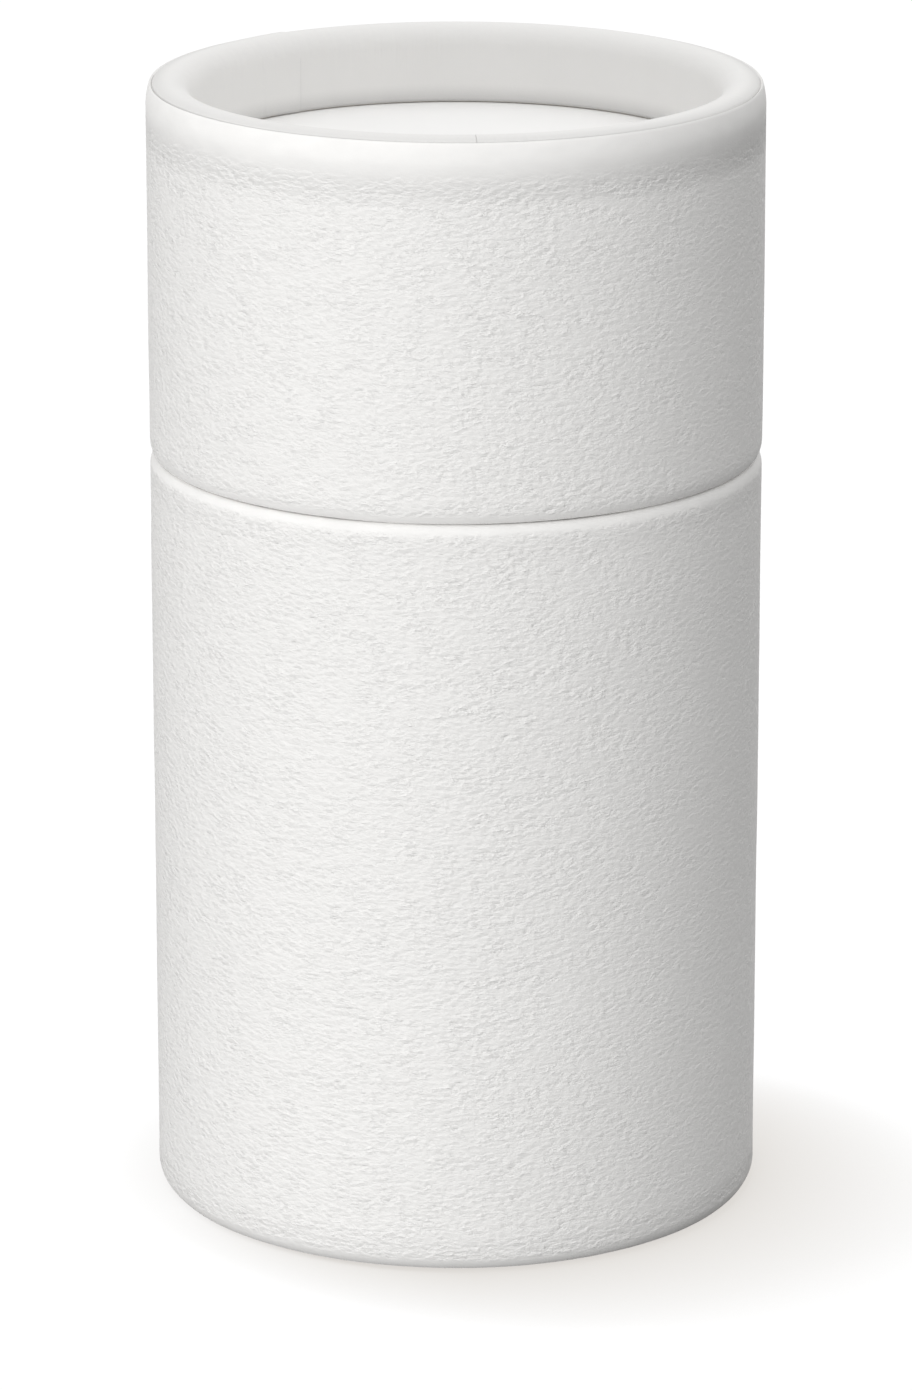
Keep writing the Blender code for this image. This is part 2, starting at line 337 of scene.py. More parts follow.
def thicken(piece, thickness):
    """Gives an open sheet its thickness behind its face."""
    wall = piece.modifiers.new("thickness", "SOLIDIFY")
    wall.thickness = thickness
    wall.offset = -1
    wall.use_even_offset = True
    wall.material_offset = BACK
    wall.material_offset_rim = CUT
    apply_modifiers(piece)


def round_cut(piece, side, radius, steps, wanted):
    """Rounds a sheet's cut end on one side, where wanted(middle of the edge) is true."""
    edit(piece, "EDGE")

    def on_cut(edge):
        slots = {face.material_index for face in edge.link_faces}
        middle = (edge.verts[0].co + edge.verts[1].co) / 2
        return slots == {CUT, side} and wanted(middle)

    select(piece, "edges", on_cut)
    bpy.ops.mesh.bevel(offset=radius, segments=steps, profile=0.5, affect="EDGES")
    done()


def off_axis(point):
    """A point's distance from the axis."""
    return math.hypot(point.x, point.y)


def bearing(point, start):
    """The angle round the axis from start to a point, from 0 to a full turn."""
    return (math.atan2(point.y, point.x) - start) % (4 * QUARTER)


def raise_lap(piece, sizes, start, wanted):
    """Raises a glued lap on a sheet's face: a crisp step at start that fades out over its width."""
    spread = sizes.lap_width / WRAP_RADIUS
    step = sizes.lap_height / sizes.lap_steps

    def in_lap(face):
        middle = face.calc_center_median()
        return face.material_index == FACE and bearing(middle, start) < spread and wanted(middle)

    edit(piece, "FACE")
    if not select(piece, "faces", in_lap):
        raise RuntimeError(f"{piece.name} has no faces where its lap goes")
    lift = {"value": sizes.lap_height}
    bpy.ops.mesh.extrude_region_shrink_fatten(TRANSFORM_OT_shrink_fatten=lift)
    mesh = bmesh.from_edit_mesh(piece.data)
    raised = {vert.index for vert in mesh.verts if vert.select}
    done()
    for pressed in range(1, sizes.lap_steps + 1):
        from_here = spread * (pressed - 0.5) / sizes.lap_steps

        def further_on(vert):
            return vert.index in raised and from_here < bearing(vert.co, start) < 2 * spread

        edit(piece, "VERT")
        select(piece, "verts", further_on)
        bpy.ops.transform.shrink_fatten(value=-step)
        done()
    edit(piece, "VERT")
    bpy.ops.mesh.select_all(action="SELECT")
    bpy.ops.mesh.remove_doubles(threshold=sizes.weld)
    done()


def cut_butt_seam(piece, sizes, wanted):
    """Sinks the hairline gap where two ends of a sheet's facing meet."""
    width = sizes.butt_width
    edit(piece, "EDGE")

    def beside(point):
        return off_axis(point) * math.sin(bearing(point, sizes.butt_seam))

    def on_seam(edge):
        ends = [vert.co for vert in edge.verts]
        in_face = {face.material_index for face in edge.link_faces} == {FACE}
        off = [beside(end) for end in ends]
        return in_face and max(map(abs, off)) < width / 2 and ends[0].y < 0 and all(map(wanted, ends))

    select(piece, "edges", on_seam)
    bpy.ops.mesh.bevel(offset=width / 2, segments=1, affect="EDGES")
    bpy.ops.mesh.select_mode(type="FACE")
    bpy.ops.mesh.select_all(action="DESELECT")

    def in_gap(face):
        middle = face.calc_center_median()
        across = max(abs(edge.verts[0].co.x - edge.verts[1].co.x) for edge in face.edges)
        here = abs(beside(middle)) < width and middle.y < 0
        return face.material_index == FACE and here and across < 1.5 * width

    if not select(piece, "faces", in_gap):
        raise RuntimeError(f"{piece.name} has no faces where its seam goes")
    sink = {"value": -sizes.butt_depth}
    bpy.ops.mesh.extrude_region_shrink_fatten(TRANSFORM_OT_shrink_fatten=sink)
    done()


def finish_piece(piece, body, slot, *nodes):
    """Shades a piece, ties it to its body and hides the nodes that it stands for. Its finish, slot,
    is not used.
    """
    bpy.ops.object.select_all(action="DESELECT")
    piece.select_set(True)
    bpy.context.view_layer.objects.active = piece
    bpy.ops.object.shade_smooth_by_angle(angle=SMOOTH_ANGLE)
    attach(piece, body)
    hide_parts(*nodes)


def face_out(piece):
    """Turns a sheet's faces outwards, while it is still open."""
    edit(piece, "FACE")
    bpy.ops.mesh.select_all(action="SELECT")
    bpy.ops.mesh.normals_make_consistent(inside=False)
    done()


def lip_dome(sizes):
    """Radius of the lip's dome, and the level where the cap's shoulder starts."""
    lean, dome = sizes.shoulder_lean, sizes.lip_dome
    crest = BOARD_RADIUS - sizes.lip_width + sizes.lip_inner
    leaned = sizes.shoulder * (1 - math.cos(lean))
    creased = sizes.lip_corner * (math.cos(lean) - math.cos(dome))
    radius = (BOARD_RADIUS - leaned - creased - crest) / math.cos(dome)
    rise = sizes.shoulder * math.sin(lean)
    rise += sizes.lip_corner * (math.sin(dome) - math.sin(lean))
    rise += radius * (1 - math.sin(dome))
    return radius, LIP_CREST - rise


def bend(path, radius, start, end, steps):
    """Carries a path on round an arc. The two angles are those of its face, 0 for outwards."""
    last_radius, last_height = path[-1]
    centre = (last_radius - radius * math.cos(start), last_height - radius * math.sin(start))
    return path + arc(centre, (radius, radius), start, end, steps)[1:]


def lip_path(sizes):
    """The cap's tube: up its wall, over shoulder, crease and lip, and down to its tail."""
    dome_radius, shoulder_start = lip_dome(sizes)
    start = (BOARD_RADIUS, CAP_BASE + STACK + sizes.cap_edge_height)
    shoulder = (BOARD_RADIUS, shoulder_start)
    path = [start] + straight(start, shoulder, sizes.board_rows)
    steps = sizes.roll_steps
    path = bend(path, sizes.shoulder, 0, sizes.shoulder_lean, steps)
    path = bend(path, sizes.lip_corner, sizes.shoulder_lean, sizes.lip_dome, steps // 4)
    path = bend(path, dome_radius, sizes.lip_dome, QUARTER, steps // 2)
    path = bend(path, sizes.lip_inner, QUARTER, 2 * QUARTER, steps)
    tail = (BOARD_RADIUS - sizes.lip_width, RECESS_FLOOR + sizes.tail_gap)
    return path + straight(path[-1], tail, sizes.tail_rows)


def rim_path(sizes):
    """The body's tube, upside down: up its wall, over the rim and down to its tail."""
    radius = (sizes.rim_width - sizes.rim_land) / 2
    start = (BOARD_RADIUS, STACK + sizes.body_edge_height)
    wall_end = (BOARD_RADIUS, BODY_TOP - radius)
    path = [start] + straight(start, wall_end, sizes.board_rows)
    path = bend(path, radius, 0, QUARTER, sizes.roll_steps)
    path.append((path[-1][0] - sizes.rim_land, BODY_TOP))
    path = bend(path, radius, QUARTER, 2 * QUARTER, sizes.roll_steps)
    tail = (BOARD_RADIUS - sizes.rim_width, BODY_TOP - BASE_RECESS + sizes.tail_gap)
    return path + straight(path[-1], tail, sizes.board_rows)


def hem_path(sizes, foot, edge_depth, edge_height):
    """A wrap's face from the end of its hem, round the open edge, to the foot of its wall."""
    bore = BOARD_RADIUS - sizes.board
    corner = sizes.inner_edge + STACK
    hem_end = (bore - STACK, foot + STACK + sizes.hem)
    inner = (bore + sizes.inner_edge, foot + corner)
    outer = (BOARD_RADIUS - edge_depth, foot + STACK + edge_height)
    inside = arc(inner, (corner, corner), -2 * QUARTER, -QUARTER, sizes.edge_steps)
    radii = (edge_depth + STACK, edge_height + STACK)
    under = arc(outer, radii, -QUARTER, 0, sizes.edge_steps)
    return [hem_end] + straight(hem_end, inside[0], sizes.hem_rows) + inside[1:] + under


def cap_wrap_path(sizes):
    """The cap's wrap: its hem, its wall, and the shoulder up to its cut edge."""
    _, shoulder_start = lip_dome(sizes)
    foot = BODY_TOP + sizes.seam
    path = hem_path(sizes, foot, sizes.cap_edge_depth, sizes.cap_edge_height)
    wall_end = (WRAP_RADIUS, shoulder_start)
    path += straight(path[-1], wall_end, sizes.wall_rows)
    path = bend(path, sizes.shoulder + STACK, 0, sizes.shoulder_lean, sizes.roll_steps)
    pressed = STACK - sizes.paper - sizes.tail_gap
    radius, height = path[-1]
    radius -= pressed * math.cos(sizes.shoulder_lean)
    height -= pressed * math.sin(sizes.shoulder_lean)
    return path[:-1] + [(radius, height)]


def body_wrap_path(sizes):
    """The body's wrap, upside down: its hem, its wall, and round the rim to its cut edge."""
    radius = (sizes.rim_width - sizes.rim_land) / 2
    path = hem_path(sizes, 0, sizes.body_edge_depth, sizes.body_edge_height)
    wall_end = (WRAP_RADIUS, BODY_TOP - radius)
    path += straight(path[-1], wall_end, sizes.wall_rows)
    return bend(path, radius + STACK, 0, sizes.wrap_climb, sizes.roll_steps)


class CANISTER_OT_board_tubes(bpy.types.Operator):
    """Make the two board tubes, each with one end rolled inward"""

    bl_idname = "canister.board_tubes"
    bl_label = "Board Tubes"
    bl_options = {"REGISTER", "UNDO"}

    def execute(self, context):
        sizes = context.scene.canister_sizes
        finish = context.scene.canister_finish
        # The facing paper gets painted shade in its crevices and beside the wrap's cut edge
        tone = finish.crevice_tone
        facing = smooth_paper("facing_paper", finish.facing, finish, LIP_CREST, tone)
        core = smooth_paper("board_core", finish.core, finish, LIP_CREST)
        cap = turn("cap_board_tube_visual", lip_path(sizes), sizes.sides)
        shoulder_end = lip_dome(sizes)[1] + sizes.shoulder * math.sin(sizes.shoulder_lean)

        def rolled_in(middle):
            return off_axis(middle) < BOARD_RADIUS - sizes.board * 2

        def at_tail(middle):
            return rolled_in(middle) and middle.z < RECESS_FLOOR + sizes.board

        def on_lip(middle):
            return rolled_in(middle) or middle.z > shoulder_end

        self.finish_tube(sizes, cap, (facing, core, core), at_tail)
        raise_lap(cap, sizes, sizes.facing_lap, on_lip)
        cut_butt_seam(cap, sizes, on_lip)
        finish_piece(cap, "cap", "smooth_paper_board", "cap_board_tube")

        rim = upside_down(rim_path(sizes), BODY_TOP)
        body = turn("body_board_tube_visual", rim, sizes.sides)
        self.finish_tube(sizes, body, (facing, core, core), lambda middle: middle.z < BODY_TOP / 2)
        finish_piece(body, "canister", "smooth_paper_board", "body_board_tube")
        return {"FINISHED"}

    def finish_tube(self, sizes, tube, materials, at_tail):
        give(tube, *materials)
        face_out(tube)
        thicken(tube, sizes.board)
        round_cut(tube, BACK, sizes.tail_back, sizes.hidden_steps, at_tail)
        round_cut(tube, FACE, sizes.tail_round, sizes.tail_steps, at_tail)


class CANISTER_OT_wraps(bpy.types.Operator):
    """Make the two felt-grained wraps, each turned in round its tube's open edge"""

    bl_idname = "canister.wraps"
    bl_label = "Wraps"
    bl_options = {"REGISTER", "UNDO"}

    def execute(self, context):
        sizes = context.scene.canister_sizes
        finish = context.scene.canister_finish
        felt = felt_paper(finish, lip_dome(sizes)[1])
        body_face = upside_down(body_wrap_path(sizes), BODY_TOP)
        faces = {"cap": cap_wrap_path(sizes), "body": body_face}

        def on_wall(middle):
            return off_axis(middle) > BOARD_RADIUS - sizes.wall_depth

        for name, body in (("cap", "cap"), ("body", "canister")):
            wrap = turn(f"{name}_outer_wrap_visual", faces[name], sizes.sides)
            give(wrap, felt, felt, felt)
            face_out(wrap)
            self.make_uneven(wrap, finish)
            thicken(wrap, sizes.paper)
            raise_lap(wrap, sizes, sizes.wrap_lap, on_wall)
            finish_piece(wrap, body, "textured_wrap", f"{name}_outer_wrap")
        return {"FINISHED"}

    def make_uneven(self, wrap, finish):
        """Lets the glued paper swell and sink a little over its board."""
        clouds = bpy.data.textures.new("unevenness", "CLOUDS")
        clouds.noise_scale = finish.uneven_size
        displace = wrap.modifiers.new("unevenness", "DISPLACE")
        displace.texture = clouds
        displace.texture_coords = "LOCAL"
        displace.strength = finish.unevenness
        displace.mid_level = 0.5
        apply_modifiers(wrap)


class CANISTER_OT_discs(bpy.types.Operator):
    """Make the four round discs, with rounded edges and rings of faces"""

    bl_idname = "canister.discs"
    bl_label = "Discs"
    bl_options = {"REGISTER", "UNDO"}

    def execute(self, context):
        sizes = context.scene.canister_sizes
        finish = context.scene.canister_finish
        white = smooth_paper("disc_paper", finish.disc, finish, LIP_CREST)
        facing = bpy.data.materials["facing_paper"]
        lining = smooth_paper("lining_paper", finish.lining, finish, LIP_CREST)
        discs = (
            ("cap_top_disc", "cap", "smooth_paper_board", white),
            ("cap_lining_disc", "cap", "inner_paper", lining),
            ("base_disc", "canister", "smooth_paper_board", facing),
            ("floor_disc", "canister", "inner_paper", lining),
        )
        for name, body, slot, paper in discs:
            disc = self.make_disc(sizes, name)
            give(disc, paper)
            finish_piece(disc, body, slot, name)
        return {"FINISHED"}

    def make_disc(self, sizes, name):
        radius, low, high = reach(name)
        bpy.ops.object.select_all(action="DESELECT")
        bpy.ops.mesh.primitive_cylinder_add(
            vertices=sizes.sides, radius=radius, depth=high - low, location=(0, 0, (low + high) / 2)
        )
        disc = bpy.context.active_object
        disc.name = f"{name}_visual"
        disc.data.name = disc.name
        bpy.ops.object.transform_apply(location=True, rotation=True, scale=True)
        edit(disc, "EDGE")
        select(disc, "edges", lambda edge: abs(edge.verts[0].co.z - edge.verts[1].co.z) < sizes.weld)
        steps = sizes.corner_steps
        bpy.ops.mesh.bevel(offset=sizes.disc_edge, segments=steps, profile=0.5, affect="EDGES")
        bpy.ops.mesh.select_mode(type="FACE")
        bpy.ops.mesh.select_all(action="DESELECT")
        select(disc, "faces", lambda face: len(face.verts) > 4)
        width = (radius - sizes.disc_edge) / sizes.disc_rings
        for _ in range(sizes.disc_rings - 1):
            bpy.ops.mesh.inset(thickness=width, use_boundary=True)
        bpy.ops.mesh.poke()
        done()
        return disc


class CANISTER_OT_neck(bpy.types.Operator):
    """Make the neck tube, with its raw upper edge rounded"""

    bl_idname = "canister.neck"
    bl_label = "Neck"
    bl_options = {"REGISTER", "UNDO"}

    def execute(self, context):
        sizes = context.scene.canister_sizes
        finish = context.scene.canister_finish
        foot = (NECK_RADIUS, NECK_BASE)
        head = (NECK_RADIUS, NECK_TOP)
        path = [foot] + straight(foot, head, sizes.neck_rows)
        neck = turn("neck_tube_visual", path, sizes.sides)
        white = smooth_paper("neck_board", finish.neck, finish, NECK_TOP)
        give(neck, white, white, bpy.data.materials["board_core"])
        face_out(neck)
        thicken(neck, sizes.neck_board)
        steps = sizes.corner_steps
        for side in (FACE, BACK):
            round_cut(neck, side, sizes.neck_edge, steps, lambda middle: middle.z > BODY_TOP)
        finish_piece(neck, "canister", "inner_board", "neck_tube")
        return {"FINISHED"}


class CANISTER_OT_lining(bpy.types.Operator):
    """Make the cap's paper lining"""

    bl_idname = "canister.lining"
    bl_label = "Lining"
    bl_options = {"REGISTER", "UNDO"}

    def execute(self, context):
        sizes = context.scene.canister_sizes
        foot = (LINING_RADIUS, LINING_BASE)
        head = (LINING_RADIUS, LINING_TOP)
        path = [foot] + straight(foot, head, sizes.lining_rows)
        lining = turn("cap_inner_lining_visual", path, sizes.sides)
        paper = bpy.data.materials["lining_paper"]
        give(lining, paper, paper, paper)
        face_out(lining)
        thicken(lining, sizes.paper)
        finish_piece(lining, "cap", "inner_paper", "cap_inner_lining")
        return {"FINISHED"}


def node(tree, kind, inputs=None, **settings):
    """Adds a shader node, with its settings and the values or links of its inputs."""
    made = tree.nodes.new(kind)
    for name, value in settings.items():
        setattr(made, name, value)
    for name, value in (inputs or {}).items():
        if isinstance(value, bpy.types.NodeSocket):
            tree.links.new(value, made.inputs[name])
        else:
            made.inputs[name].default_value = value
    return made


def maths(tree, operation, *values):
    """Adds a Math node and gives its output."""
    return node(tree, "ShaderNodeMath", dict(enumerate(values)), operation=operation).outputs[0]


def vectors(tree, operation, *values):
    """Adds a Vector Math node and gives its outputs."""
    return node(tree, "ShaderNodeVectorMath", dict(enumerate(values)), operation=operation).outputs


def noise(tree, place, scale, look):
    """Adds a Noise Texture node and gives its grey output."""
    return node(tree, "ShaderNodeTexNoise", {"Vector": place, "Scale": scale, **look}).outputs[0]


def along(tree, place, axis):
    """A place's part along one axis."""
    return node(tree, "ShaderNodeSeparateXYZ", {0: place}).outputs[axis]


def ramp(tree, value, before, after=(0.0, 1.0), kind="LINEAR"):
    """Runs a value from one pair of ends to another, and stops at them."""
    ends = {"From Min": before[0], "From Max": before[1], "To Min": after[0], "To Max": after[1]}
    made = node(tree, "ShaderNodeMapRange", {"Value": value, **ends}, interpolation_type=kind)
    return made.outputs[0]


def mix(tree, mask, low, high):
    """Adds a Mix node between two colours and gives its output."""
    ends = {"Factor": mask, "A": (*low, 1.0), "B": (*high, 1.0)}
    return node(tree, "ShaderNodeMix", ends, data_type="RGBA").outputs["Result"]


def group(name, numbers, outputs):
    """Starts a shader node group that takes a place and these numbers, and gives values."""
    tree = bpy.data.node_groups.new(name, "ShaderNodeTree")
    tree.interface.new_socket("Place", in_out="INPUT", socket_type="NodeSocketVector")
    for socket, default in numbers.items():
        made = tree.interface.new_socket(socket, in_out="INPUT", socket_type="NodeSocketFloat")
        made.default_value = default
    for socket in outputs:
        tree.interface.new_socket(socket, in_out="OUTPUT", socket_type="NodeSocketFloat")
    start = tree.nodes.new("NodeGroupInput").outputs
    end = tree.nodes.new("NodeGroupOutput").inputs
    return tree, start, end


def felt_grain():
    """Short level wrinkles, steeper on top, as a felt roller presses them into paper. 0 is level."""
    tree, start, end = group("felt_grain", {"Size": 0.001, "Flatten": 2.0}, ("Height", "Tone"))
    finer = maths(tree, "DIVIDE", 1.0, start["Size"])
    squash = node(tree, "ShaderNodeCombineXYZ", {0: 1.0, 1: 1.0, 2: start["Flatten"]}).outputs[0]
    squashed = vectors(tree, "MULTIPLY", start["Place"], squash)[0]
    look = {"Detail": 3.0, "Roughness": 0.5, "Distortion": 0.1}
    # High spots move up, which makes a wrinkle's upper flank the steeper one
    swell = noise(tree, squashed, finer, look)
    lean = maths(tree, "MULTIPLY", start["Size"], 0.8)
    drop = maths(tree, "MULTIPLY", maths(tree, "SUBTRACT", 0.5, swell), lean)
    shift = node(tree, "ShaderNodeCombineXYZ", {2: drop}).outputs[0]
    wrinkles = noise(tree, vectors(tree, "ADD", squashed, shift)[0], finer, look)
    # Wide patches, in which the roller pressed harder or less hard
    wide = noise(tree, squashed, maths(tree, "MULTIPLY", finer, 0.3), {"Detail": 2.0})
    strength = ramp(tree, wide, (0.35, 0.65), (0.6, 1.4))
    level = maths(tree, "SUBTRACT", wrinkles, 0.5)
    tree.links.new(maths(tree, "MULTIPLY", level, strength), end["Height"])
    tree.links.new(wide, end["Tone"])
    return tree


def off_edge():
    """How far a place is from one level: 0 up to half the reach, 1 past the whole of it."""
    tree, start, end = group("off_edge", {"Level": 0.0, "Reach": 0.002}, ("Away",))
    level = along(tree, start["Place"], "Z")
    gap = maths(tree, "ABSOLUTE", maths(tree, "SUBTRACT", level, start["Level"]))
    half = maths(tree, "MULTIPLY", start["Reach"], 0.5)
    away = ramp(tree, gap, (half, start["Reach"]), kind="SMOOTHSTEP")
    tree.links.new(away, end["Away"])
    return tree


def swelling():
    """A ring that swells out round the tube: 1 on its level, 0 past its reaches below and above."""
    reaches = {"Below": 0.005, "Above": 0.005}
    tree, start, end = group("swelling", {"Level": 0.0, **reaches}, ("Height",))
    level = along(tree, start["Place"], "Z")
    over = maths(tree, "SUBTRACT", level, start["Level"])
    under = maths(tree, "SUBTRACT", start["Level"], level)
    above = ramp(tree, over, (0.0, start["Above"]), (1.0, 0.0), kind="SMOOTHSTEP")
    below = ramp(tree, under, (0.0, start["Below"]), (1.0, 0.0), kind="SMOOTHSTEP")
    tree.links.new(maths(tree, "MULTIPLY", above, below), end["Height"])
    return tree


def paper_tooth():
    """The fine tooth of smooth paper, and the wide clouds in its tone."""
    tree, start, end = group("paper_tooth", {"Size": 0.0002}, ("Height", "Cloud"))
    finer = maths(tree, "DIVIDE", 1.0, start["Size"])
    tooth = noise(tree, start["Place"], finer, {"Detail": 3.0, "Roughness": 0.6})
    cloud = noise(tree, start["Place"], maths(tree, "MULTIPLY", finer, 0.03), {"Detail": 3.0})
    tree.links.new(tooth, end["Height"])
    tree.links.new(cloud, end["Cloud"])
    return tree


def roll_folds():
    """Fine folds that run across a rolled end, where the sheet was gathered round the tube."""
    numbers = {"Count": 60.0, "Crest": 0.1, "Reach": 0.006}
    tree, start, end = group("roll_folds", numbers, ("Height",))
    flat = vectors(tree, "MULTIPLY", start["Place"], FLATTENED)[0]
    round_axis = vectors(tree, "NORMALIZE", flat)[0]
    folds = noise(tree, round_axis, start["Count"], {"Detail": 3.0, "Roughness": 0.65})
    level = along(tree, start["Place"], "Z")
    below = maths(tree, "ABSOLUTE", maths(tree, "SUBTRACT", start["Crest"], level))
    near = ramp(tree, below, (0.0, start["Reach"]), (1.0, 0.0), kind="SMOOTHSTEP")
    tree.links.new(maths(tree, "MULTIPLY", folds, near), end["Height"])
    return tree


def material(name):
    """A new material: its tree, its shader and the place on the piece."""
    made = bpy.data.materials.new(name)
    made.use_nodes = True
    tree = made.node_tree
    shader = tree.nodes["Principled BSDF"]
    place = tree.nodes.new("ShaderNodeTexCoord").outputs["Object"]
    return made, tree, shader, place


def effect(tree, build, inputs):
    """Places an effect in a material. Its group is built once, under its function's name."""
    shared = bpy.data.node_groups.get(build.__name__) or build()
    return node(tree, "ShaderNodeGroup", inputs, node_tree=shared).outputs


def seen_as_backdrop(tree):
    """1 for the rays that see the backdrop: from the camera, off gloss and through glass."""
    rays = node(tree, "ShaderNodeLightPath").outputs
    seen = maths(tree, "MAXIMUM", rays["Is Camera Ray"], rays["Is Glossy Ray"])
    return maths(tree, "MAXIMUM", seen, rays["Is Transmission Ray"])


def bump(tree, height, depth, under=None):
    inputs = {"Height": height, "Distance": depth, "Strength": 1.0}
    if under is not None:
        inputs["Normal"] = under
    return node(tree, "ShaderNodeBump", inputs).outputs[0]


def tint(tree, base, mask, change):
    """The base colour, lighter or darker by this share where the mask runs from 0 to 1."""
    low = tuple(part * (1 - change) for part in base)
    high = tuple(min(1.0, part * (1 + change)) for part in base)
    return mix(tree, mask, low, high)


def felt_paper(finish, shoulder):
    """The wrap: matt white paper with a pressed felt grain, drawn tight over shoulder and rim."""
    made, tree, shader, place = material("felt_paper")
    look = {"Place": place, "Size": finish.grain_size, "Flatten": finish.grain_flat}
    grain = effect(tree, felt_grain, look)
    tooth = effect(tree, paper_tooth, {"Place": place, "Size": finish.tooth_size})
    fade = (finish.fade_start * WRAP_RADIUS, finish.fade_end * WRAP_RADIUS)
    kept = ramp(tree, along(tree, place, "X"), fade, (finish.grain_full, finish.grain_faint))
    pressed = maths(tree, "MULTIPLY", grain["Height"], kept)
    smooth = ((0, finish.smooth_base), (BODY_TOP, finish.smooth_seam), (LIP_CREST, finish.smooth_lip))
    for level, far in smooth:
        away = effect(tree, off_edge, {"Place": place, "Level": level, "Reach": far})["Away"]
        pressed = maths(tree, "MULTIPLY", pressed, away)
    relief = maths(tree, "MULTIPLY", pressed, finish.grain_depth)
    wide, near, rim = finish.shoulder_swell_reach, finish.edge_swell_reach, finish.rim_swell_reach
    swells = (
        (shoulder, finish.shoulder_swell_below, wide, finish.shoulder_swell),
        (BODY_TOP - near / 2, near, near, finish.edge_swell),
        (BODY_TOP + near, near, finish.swell_fade * near, finish.edge_swell),
        (rim, rim, finish.swell_fade * rim, finish.rim_swell),
    )
    for level, below, above, depth in swells:
        ring = {"Place": place, "Level": level, "Below": below, "Above": above}
        swell = effect(tree, swelling, ring)["Height"]
        relief = maths(tree, "ADD", relief, maths(tree, "MULTIPLY", swell, depth))
    normal = bump(tree, tooth["Height"], finish.tooth_depth)
    normal = bump(tree, relief, 1.0, normal)
    tree.links.new(normal, shader.inputs["Normal"])
    # The colour drifts at random, and is painted darker in the grain's hollows and lighter on its
    # tops as painted shade and light
    tone_and_painted_shade = maths(tree, "ADD", grain["Tone"], pressed)
    tone = tint(tree, finish.wrap, tone_and_painted_shade, finish.grain_tone)
    tree.links.new(tone, shader.inputs["Base Color"])
    rough = ramp(tree, grain["Height"], (-0.2, 0.2), FELT_ROUGHNESS)
    tree.links.new(rough, shader.inputs["Roughness"])
    shader.inputs["Specular IOR Level"].default_value = finish.sheen
    return made


def smooth_paper(name, base, finish, crest, crevice=1.0):
    """Smooth matt paper, faced on board, with fine folds where it goes over a roll."""
    made, tree, shader, place = material(name)
    tooth = effect(tree, paper_tooth, {"Place": place, "Size": finish.tooth_size})
    folds = effect(tree, roll_folds, {"Place": place, "Crest": crest})
    normal = bump(tree, tooth["Height"], finish.tooth_depth)
    normal = bump(tree, folds["Height"], finish.fold_depth, normal)
    tree.links.new(normal, shader.inputs["Normal"])
    tone = tint(tree, base, tooth["Cloud"], finish.cloud_tone)
    # Painted shade: where crevice is under 1, the colour is darkened in crevices and beside the
    # wrap's cut edge
    if crevice < 1:
        dark = crevice_shade(tree, place, finish, crest, crevice)
        shaded = {0: tone, "Scale": dark}
        tone = node(tree, "ShaderNodeVectorMath", shaded, operation="SCALE").outputs[0]
    tree.links.new(tone, shader.inputs["Base Color"])
    rough = ramp(tree, tooth["Height"], (0.0, 1.0), SMOOTH_ROUGHNESS)
    tree.links.new(rough, shader.inputs["Roughness"])
    return made


def crevice_shade(tree, place, finish, crest, crevice):
    """Painted shade: 1 on open paper, lower at the recess's foot and on the lip beside the wrap's cut
    edge.
    """
    distance = {"Distance": finish.crevice_reach}
    near = node(tree, "ShaderNodeAmbientOcclusion", distance, samples=8).outputs["AO"]
    level = along(tree, place, "Z")
    radius = vectors(tree, "LENGTH", vectors(tree, "MULTIPLY", place, FLATTENED)[0])["Value"]
    beside = (BOARD_RADIUS - finish.crease_reach, BOARD_RADIUS)
    crease = ramp(tree, radius, beside, (1.0, finish.crease_tone), kind="SMOOTHSTEP")
    over = ramp(tree, level, (crest - 2 * finish.crevice_reach, crest - finish.crevice_reach))
    dark = ramp(tree, maths(tree, "MAXIMUM", near, over), (0.5, 1.0), (crevice, 1.0))
    return maths(tree, "MULTIPLY", dark, crease)


